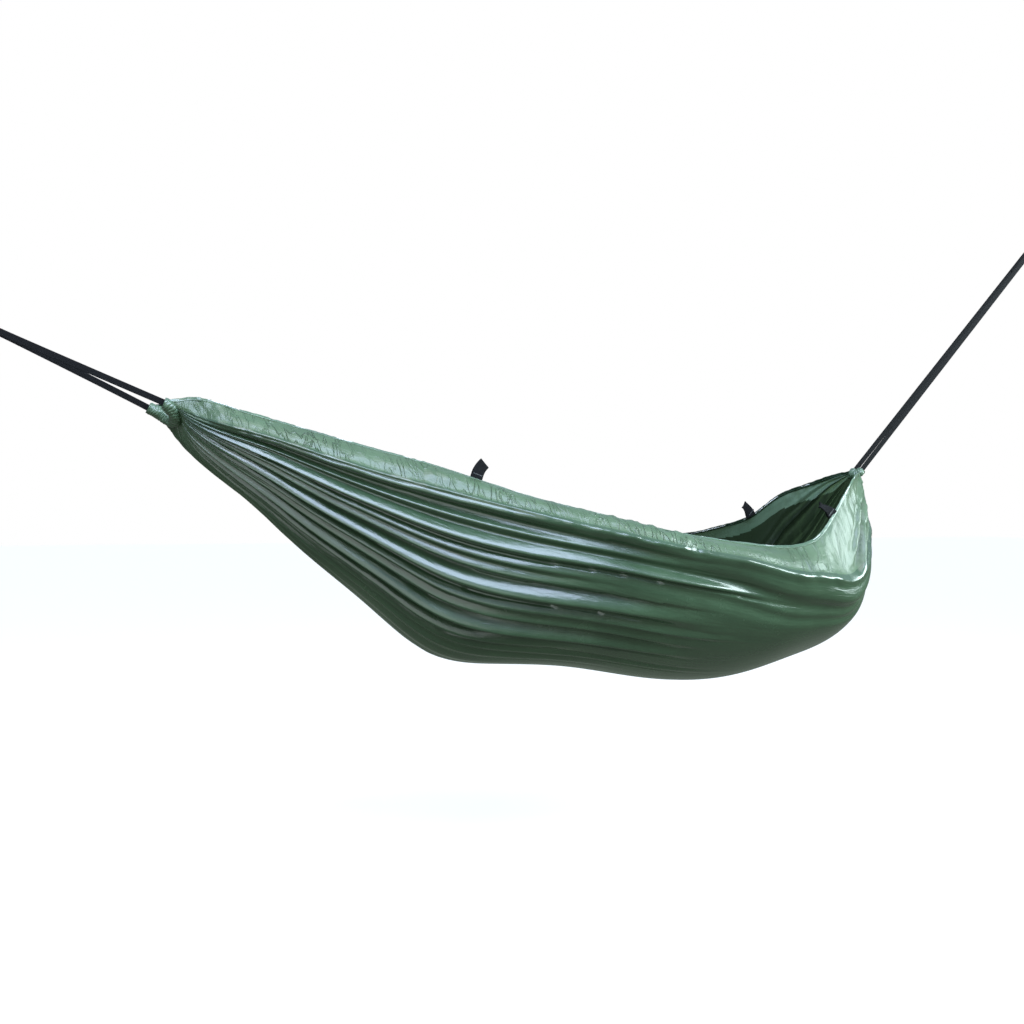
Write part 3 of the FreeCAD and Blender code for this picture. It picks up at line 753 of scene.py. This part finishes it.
def pleated(grid):
    """The bed with its pleats, folds and puckers, each a move along the cloth's own normal."""
    q = run_of_rows(grid)[:, None]
    r = q[-1] - q
    belly = grid[:, LIP_COLUMNS:LIP_COLUMNS + BELLY_COLUMNS + 1]
    width = np.linalg.norm(np.diff(belly, axis=1), axis=2).sum(axis=1)[:, None]
    move = np.zeros(grid.shape[:2])
    add_belly_folds(move, q, r, width)
    add_lip_folds(move, q, r)
    add_crease_ridges(move, q, r)
    limit = np.minimum(np.interp(q, *LEFT_LIMIT), np.interp(r, *RIGHT_LIMIT))
    move = limit * np.tanh(move / limit)
    return grid + outward_of(grid) * move[..., None]


def make_bed():
    """Makes the sheet of cloth and gives its grid of points, for the pieces sewn to it."""
    smooth = smooth_bed()
    grid = pleated(smooth)
    steps = np.linalg.norm(np.diff(smooth, axis=1), axis=2)
    across = np.concatenate([np.zeros((ROWS, 1)), np.cumsum(steps, axis=1)], axis=1)
    widest = across[np.argmax(across[:, -1])]
    uv = np.stack(np.broadcast_arrays(run_of_rows(smooth)[:, None], widest[None, :]), -1)
    piece = grid_piece("coated_bed", grid, uv, BED)
    # the lip is the belly's cloth painted paler, as painted light where it faces up, up to its glossy
    # crease; inside, only a band of it is painted pale, as painted sky light, and the rest of its inside
    # is painted shade
    piece.data.materials.append(LIP)
    piece.data.materials.append(LIP_BACK)
    columns = grid.shape[1] - 1
    from_edge = np.minimum(np.arange(columns), np.arange(columns)[::-1])
    lip = np.tile(from_edge < LIP_COLUMNS - CREASE_COLUMNS, (ROWS - 1, 1)).astype(np.int32)
    inwards = np.minimum(across[:-1, 1:], across[:-1, -1:] - across[:-1, :-1])
    piece.data.polygons.foreach_set("material_index", (lip + lip * (inwards < PAINTED_LIGHT_BAND)).ravel())
    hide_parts("bed_panel")
    return grid


bed = make_bed()


# ---- hems, edge loops and the gathered ends ----

def outline_tube(name, line, frames, section, material, uv_width, caps=True):
    """Sweeps a closed section (rows, points, 2) along line. frames are the two directions of its plane."""
    a, b = frames
    grid = line[:, None] + a[:, None] * section[..., :1] + b[:, None] * section[..., 1:]
    run = lengths_along(line)
    across = np.linspace(0, uv_width, section.shape[1] + 1)
    uv = np.stack(np.broadcast_arrays(run[:, None], across[None, :]), -1)
    return grid_piece(name, grid, uv, material, ring=True, caps=caps)


STITCH_PITCH, STITCH_LENGTH, STITCH_SHOULDER = 0.0044, 0.0028, 0.18
STITCH_HALF_WIDTH, STITCH_PROUD = 0.00045, 0.00035
# A stitch's faces: point 0, two rings of four, point 9
STITCH_FACES = [(0, 2, 1), (0, 3, 2), (0, 4, 3), (0, 1, 4), (1, 2, 6, 5), (2, 3, 7, 6), (3, 4, 8, 7),
                (4, 1, 5, 8), (9, 5, 6), (9, 6, 7), (9, 7, 8), (9, 8, 5)]


def stitches(name, line, across, out):
    """A row of stitches along line: each is a short bead of green thread, flat on the cloth."""
    run = lengths_along(line)

    def at(values, where):
        return np.stack([np.interp(where, run, values[:, k]) for k in range(3)], 1)

    middles = np.arange(STITCH_PITCH, run[-1] - STITCH_PITCH, STITCH_PITCH)
    start, end = at(line, middles - STITCH_LENGTH / 2), at(line, middles + STITCH_LENGTH / 2)
    side = unit(at(across, middles)) * STITCH_HALF_WIDTH
    up = unit(at(out, middles)) * STITCH_PROUD
    shoulder = unit(end - start) * (STITCH_SHOULDER * STITCH_LENGTH)
    rings = [[centre + side, centre + up, centre - side, centre - up]
             for centre in (start + shoulder, end - shoulder)]
    points = np.stack([start, *rings[0], *rings[1], end], 1)
    faces, uvs = [], []
    for i, middle in enumerate(middles):
        for face in STITCH_FACES:
            faces.append(tuple(points.shape[1] * i + k for k in face))
            uvs += [(middle + 0.0001 * k, 0.0002 * (k % 4)) for k in face]
    piece = new_piece(name, points.reshape(-1, 3), faces, uvs, GREEN_THREAD)


# The hem's section: out from the cloth's edge, and across the cloth
HEM_SECTION = np.array([
    (-0.0050, -0.0012), (-0.0030, -0.0017), (0.0010, -0.0019), (0.0050, -0.0019), (0.0078, -0.0016),
    (0.0088, -0.0008), (0.0090, 0.0), (0.0088, 0.0008), (0.0078, 0.0016), (0.0050, 0.0019),
    (0.0010, 0.0019), (-0.0030, 0.0017), (-0.0050, 0.0012), (-0.0046, 0.0)])
HEM_STEP, HEM_GIRTH, HEM_SEEDS = 0.0028, 0.034, {"near": 300, "far": 340}
# Where on the hem a row of stitches lies
STITCH_OUT, STITCH_LIFT = 0.0005, 0.00205
ELASTIC_RADIUS, ELASTIC_SIDES, ELASTIC_GIRTH = 0.0012, 10, 0.0075
# How far out from the edge the elastic lies, and how far it comes out of the hem's ends
ELASTIC_OUT, ELASTIC_END = 0.0045, 0.006


def make_hem(side):
    """The folded edge with the elastic cord inside it, puckered, with a row of stitches on each face."""
    first, inner = (0, 5) if side == "near" else (-1, -6)
    raw, away = bed[:, first], unit(bed[:, first] - bed[:, inner])
    normal = outward_of(bed)[:, first]
    count = int(lengths_along(raw)[-1] / HEM_STEP)
    joined = even_steps(np.hstack([raw, away, normal]), count)
    line, away, normal = joined[:, :3], unit(joined[:, 3:6]), unit(joined[:, 6:])
    seed = HEM_SEEDS[side]
    s = lengths_along(line)[:, None]
    a, b = HEM_SECTION[None, :, 0], HEM_SECTION[None, :, 1]
    outer = smoothstep(-0.004, 0.006, a)
    pucker = 0.0007 * noise(seed, s / 0.007, np.sign(b) + 0 * s) * outer
    sway = 0.0012 * noise(seed + 1, s / 0.045, 0 * b) * outer
    ripple = 0.0009 * noise(seed + 2, s / 0.016, 0 * b) * outer
    section = np.stack([a + ripple, b * (1 + 220 * pucker) + sway + pucker], -1)
    hem = outline_tube(side + "_folded_hem", line, (away, normal), section, HEM, HEM_GIRTH)
    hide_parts(side + "_edge_binding")
    for face in (1, -1):
        row = line + away * STITCH_OUT + normal * face * STITCH_LIFT
        stitches(f"{side}_hem_stitches_{'out' if face > 0 else 'in'}side", row, away, normal)
    angles = np.linspace(0, 2 * math.pi, ELASTIC_SIDES, endpoint=False)
    core = ELASTIC_RADIUS * np.stack([np.cos(angles), np.sin(angles)], 1)
    middle = line + away * ELASTIC_OUT + normal * 0.0012 * noise(seed + 1, s / 0.045)
    middle = np.vstack([middle[0] - ELASTIC_END * unit(middle[2] - middle[0]), middle,
                        middle[-1] + ELASTIC_END * unit(middle[-1] - middle[-3])])
    frames = [np.vstack([v[:1], v, v[-1:]]) for v in (away, normal)]
    elastic = outline_tube(side + "_elastic_cord", middle, frames,
                           np.broadcast_to(core, (len(middle), *core.shape)), ELASTIC, ELASTIC_GIRTH)
    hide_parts(side + "_edge_elastic")


LOOP_WIDTH, LOOP_HEIGHT, LOOP_HALF_GAP, LOOP_THICK, LOOP_ROOT = 0.038, 0.052, 0.00375, 0.0015, 0.0015
# How far the loop reaches down over the hem, and the height up to which it is sewn and keeps straight
LOOP_TUCK, LOOP_SEWN = 0.0045, 0.011
LOOP_ROWS, LOOP_TURN_ROWS = 26, 13
# How much of its width each loop loses towards the top, where it has been folded
LOOP_PINCH = {"near_left": 0.0, "near_right": 0.45, "far_left": 0.1, "far_right": 0.2}
# Lean along the edge and across it, and twist on the way up
LOOP_LEANS = {
    "near_left": (0.013, 0.002, 0.08),
    "near_right": (-0.008, 0.014, 0.80),
    "far_left": (-0.010, -0.006, -0.25),
    "far_right": (-0.012, -0.004, 0.35),
}


def make_edge_loop(name):
    """Webbing folded over and sewn to the hem, standing up with its own set."""
    node = name + "_edge_loop"
    low, high = (np.array(c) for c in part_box(node))
    line = bed[:, 0 if name.startswith("near") else -1]
    middle = (low + high) / 2
    nearest = int(np.argmin(np.abs(line[:, 0] - middle[0])))
    along = line[nearest + 4] - line[nearest - 4]
    along = unit(along * np.array([1, 0, 1]))
    up = np.cross(along, [0, 1.0, 0])
    up = up if up[2] > 0 else -up
    base = middle - up * (LOOP_HEIGHT - LOOP_ROOT) / 2
    reach, crown = LOOP_HALF_GAP, LOOP_HEIGHT - LOOP_HALF_GAP - LOOP_THICK / 2
    heights = np.linspace(-LOOP_TUCK, crown, LOOP_ROWS)
    turn = np.linspace(0, math.pi, LOOP_TURN_ROWS + 2)[1:-1]
    y = np.concatenate([np.full(LOOP_ROWS, reach), reach * np.cos(turn), np.full(LOOP_ROWS, -reach)])
    h = np.concatenate([heights, crown + reach * np.sin(turn), heights[::-1]])
    free = LOOP_HEIGHT - LOOP_SEWN
    rise = np.clip((h - LOOP_SEWN) / free, 0, 1)
    lean_along, lean_across, twist = LOOP_LEANS[name]
    buckle = -0.0012 * smoothstep(0.1, 0.6, rise) * y / reach
    outwards = np.array([0, 1.0, 0])
    path = (base + up * (h - 0.10 * abs(lean_along) * rise ** 2)[:, None]
            + along * (lean_along * rise ** 1.8)[:, None]
            + outwards * (y + buckle + lean_across * rise ** 1.8)[:, None])
    # the width stays square to the leaning webbing, also where it turns over at the top
    tilt = np.arctan(1.8 * lean_along * rise ** 0.8 / free)[:, None]
    level = along * np.cos(tilt) - up * np.sin(tilt)
    wide = level * np.cos(twist * rise)[:, None] + outwards * np.sin(twist * rise)[:, None]
    width = LOOP_WIDTH * (1 - LOOP_PINCH[name] * rise ** 0.6)
    piece = tape(name + "_webbing_loop", path, wide, width, LOOP_THICK)
    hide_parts(node)


CHANNEL_RADIUS = {"left": 0.0180, "right": 0.0145}
CHANNEL_SEEDS, CHANNEL_ROWS = {"left": 400, "right": 430}, {"left": 230, "right": 180}
# How far the channel runs on past the sling's U, the distance between its ruffles, and its cloth
CHANNEL_STUB, RUFFLE_PITCH, CHANNEL_CLOTH, CHANNEL_GIRTH = 0.006, 0.0085, 0.0009, 0.094
SEAM_ROW, SEAM_LIFT = 8, 0.0003


def make_channel(end):
    """The sewn sleeve of fabric, bunched in ruffles on the sling."""
    facts = ENDS[end]
    w = end_axes(facts["slope"])[2]
    radius, seed = facts["u_radius"], CHANNEL_SEEDS[end]
    stub, far_stub = (np.linspace(-CHANNEL_STUB - more, 0, 10)[:-1] for more in (0, facts["far_reach"]))
    turn = np.linspace(-math.pi / 2, math.pi / 2, 120)
    flat = np.vstack([np.stack([stub, np.full_like(stub, -radius)], 1),
                      np.stack([radius * np.cos(turn), radius * np.sin(turn)], 1),
                      np.stack([far_stub[::-1], np.full_like(far_stub, radius)], 1)])
    flat = even_steps(flat, CHANNEL_ROWS[end])
    line = np.array([in_sling(end, facts["reach"] + a, b) for a, b in flat])
    along = unit(np.gradient(line, axis=0))
    across = unit(np.cross(along, w))
    upright = np.cross(across, along)
    s = lengths_along(line)[:, None]
    angles = np.linspace(0, 2 * math.pi, 40, endpoint=False)[None, :]
    circle_x, circle_y = np.cos(angles) * 1.3, np.sin(angles) * 1.3
    drift = s / RUFFLE_PITCH + 0.8 * noise(seed, s / 0.03, circle_x + 5, circle_y + 5)
    ruffle = np.abs(np.sin(math.pi * drift)) ** 0.7 - 0.5
    uneven = noise(seed + 1, s / 0.012, circle_x * 1.6 + 5, circle_y * 1.6 + 5)
    reach = CHANNEL_RADIUS[end] + 0.0024 * ruffle + 0.0022 * uneven
    from_mouth = np.minimum(s, s[-1] - s)
    reach *= 0.86 + 0.14 * smoothstep(0.0, 0.012, from_mouth)
    section = np.stack([np.cos(angles) * reach, np.sin(angles) * reach * 0.96], -1)
    piece = outline_tube(end + "_ruffled_channel", line, (across, upright), section, HEM, CHANNEL_GIRTH,
                         caps=False)
    shell = piece.modifiers.new("cloth", "SOLIDIFY")
    shell.thickness, shell.offset = CHANNEL_CLOTH, -1
    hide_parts(end + "_end_channel")


for side in ("near", "far"):
    make_hem(side)
for name in LOOP_LEANS:
    make_edge_loop(name)
for end in ENDS:
    make_channel(end)

# The seams that close the channels, a hand's width from the slings
outward = outward_of(bed)
for end, row in (("left", SEAM_ROW), ("right", ROWS - 1 - SEAM_ROW)):
    stitches(end + "_channel_seam", bed[row] + outward[row] * SEAM_LIFT, bed[row + 1] - bed[row - 1],
             outward[row])

# The CAD's own pieces that still show: the carabiners and the black thread
for name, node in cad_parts.items():
    if node.hide_render:
        continue
    material = (STEEL if name.endswith(("rivet", "pin", "plunger", "spring")) else
                THREAD if name.endswith(("stitching", "bartacks")) else ALUMINIUM)
    for slot in node.material_slots:
        slot.material = material

# ---- stage and lights ----

FLOOR_Z, FLOOR_HALF = cad_low[2] - 0.55, 40.0
SKY_LOW, SKY_HIGH, SKY_FROM, SKY_STRENGTH = (0.27, 0.32, 0.28, 1), (0.62, 0.78, 1.0, 1), 0.35, 0.85


def make_stage():
    """A pale floor that glows a little, so that it reads white, and sends no light up to the object."""
    n = Nodes("pale_floor")
    grain = n.noise(n.mapped("Object", (1, 1, 1)), 3.0, 4, 0.5)
    shade = n.mix((grain, "Fac"), (0.42, 0.41, 0.40), (0.45, 0.44, 0.43))
    n.tree.links.new(shade.outputs["Result"], n.shader.inputs["Base Color"])
    n.set(Roughness=0.9, Emission_Color=(1, 1, 1, 1), Emission_Strength=0.55)
    half, z = FLOOR_HALF, FLOOR_Z
    points = [(-half, -half, z), (half, -half, z), (half, half, z), (-half, half, z)]
    mesh = bpy.data.meshes.new("floor")
    mesh.from_pydata(points, [], [(0, 1, 2, 3)])
    mesh.materials.append(n.material)
    floor = bpy.data.objects.new("floor", mesh)
    floor.visible_glossy = floor.visible_diffuse = False
    bpy.context.scene.collection.objects.link(floor)


def soft_light(name, place, look_at, size, power, colour):
    """A large window of light, which the pleats mirror as pale bands."""
    data = bpy.data.lights.new(name, "AREA")
    data.shape, data.size, data.size_y = "RECTANGLE", size[0], size[1]
    data.energy, data.color = power, colour
    light = bpy.data.objects.new(name, data)
    light.location = place
    light.rotation_euler = (Vector(look_at) - Vector(place)).to_track_quat("-Z", "Y").to_euler()
    bpy.context.scene.collection.objects.link(light)


def sun_light(name, towards, strength, spread, colour):
    """Even light from one side of the sky, as from a ceiling of diffusers."""
    data = bpy.data.lights.new(name, "SUN")
    data.energy, data.color, data.angle = strength, colour, math.radians(spread)
    light = bpy.data.objects.new(name, data)
    light.rotation_euler = Vector(towards).to_track_quat("Z", "Y").to_euler()
    bpy.context.scene.collection.objects.link(light)


def make_world():
    """White behind the object, and a dimmer sky that lights the object and shows in its gloss."""
    world = bpy.data.worlds.new("studio")
    bpy.context.scene.world = world
    world.use_nodes = True
    tree = world.node_tree
    tree.nodes.clear()
    out = tree.nodes.new("ShaderNodeOutputWorld")
    seen, lighting = tree.nodes.new("ShaderNodeBackground"), tree.nodes.new("ShaderNodeBackground")
    seen.inputs["Color"].default_value = (1, 1, 1, 1)
    direction, part = tree.nodes.new("ShaderNodeTexCoord"), tree.nodes.new("ShaderNodeSeparateXYZ")
    ramp = tree.nodes.new("ShaderNodeValToRGB")
    tree.links.new(direction.outputs["Generated"], part.inputs[0])
    tree.links.new(part.outputs["Z"], ramp.inputs[0])
    for element, place, colour in zip(ramp.color_ramp.elements, (0.0, SKY_FROM), (SKY_LOW, SKY_HIGH)):
        element.position, element.color = place, colour
    tree.links.new(ramp.outputs[0], lighting.inputs["Color"])
    lighting.inputs["Strength"].default_value = SKY_STRENGTH
    rays, mix = tree.nodes.new("ShaderNodeLightPath"), tree.nodes.new("ShaderNodeMixShader")
    tree.links.new(rays.outputs["Is Camera Ray"], mix.inputs[0])
    tree.links.new(lighting.outputs[0], mix.inputs[1])
    tree.links.new(seen.outputs[0], mix.inputs[2])
    tree.links.new(mix.outputs[0], out.inputs["Surface"])


make_stage()
make_world()
sun_light("overhead", towards=(-0.05, -0.28, 1.0), strength=1.0, spread=40, colour=(1.0, 1.0, 0.97))
sun_light("front_fill", towards=(-0.25, -1.0, 0.15), strength=1.35, spread=60, colour=(0.90, 0.97, 0.96))
soft_light("sky_panel", place=(1.3, -2.6, 2.2), look_at=(1.7, 0.0, -0.6), size=(5.2, 2.4), power=440,
           colour=(0.62, 0.74, 1.0))
soft_light("right_window", place=(5.6, -1.9, 0.5), look_at=(3.0, -0.1, -0.6), size=(1.6, 2.6), power=260,
           colour=(0.80, 0.95, 0.98))
bpy.context.scene.view_settings.view_transform = "Standard"
